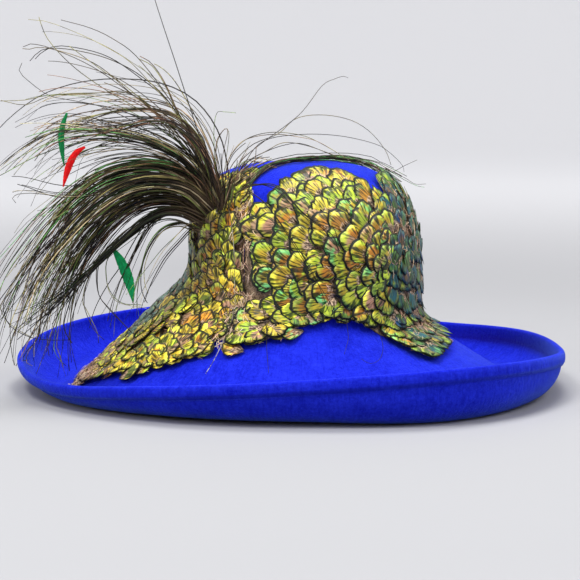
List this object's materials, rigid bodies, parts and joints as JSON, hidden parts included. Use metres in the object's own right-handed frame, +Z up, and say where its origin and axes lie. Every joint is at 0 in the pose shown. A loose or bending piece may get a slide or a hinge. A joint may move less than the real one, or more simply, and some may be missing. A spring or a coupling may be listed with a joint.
{
  "type": "feathered wide-brim felt hat",
  "caption": "Wide-brimmed felt hat with turned-up rolled brim, feather pads round its crown and a drooping plume of long herls at one side.",
  "frame": {"origin": "middle of the hat's bounding box, on the surface that the brim stands on", "axes": "+Z up through the crown, -Y towards the side the picture shows, +X to that view's right, away from the plume"},
  "size_m": [0.4594, 0.4386, 0.3281],
  "materials": {
    "blue_felt": "matte wool felt",
    "olive_feather": "feather with a soft sheen",
    "gold_green_feather": "feather with a soft sheen",
    "teal_feather": "feather with a soft sheen",
    "dark_herl": "fine feather herl",
    "green_feather": "dyed feather",
    "red_feather": "dyed feather"
  },
  "bodies": {
    "root": {"felt_body": "blue_felt", "left_feather_pad": "olive_feather", "front_feather_pad": "gold_green_feather", "right_feather_pad": "teal_feather", "plume": "dark_herl", "crown_wisp": "dark_herl", "green_feather_tip_upper": "green_feather", "red_feather_tip": "red_feather", "green_feather_tip_lower": "green_feather"}
  },
  "joints": []
}
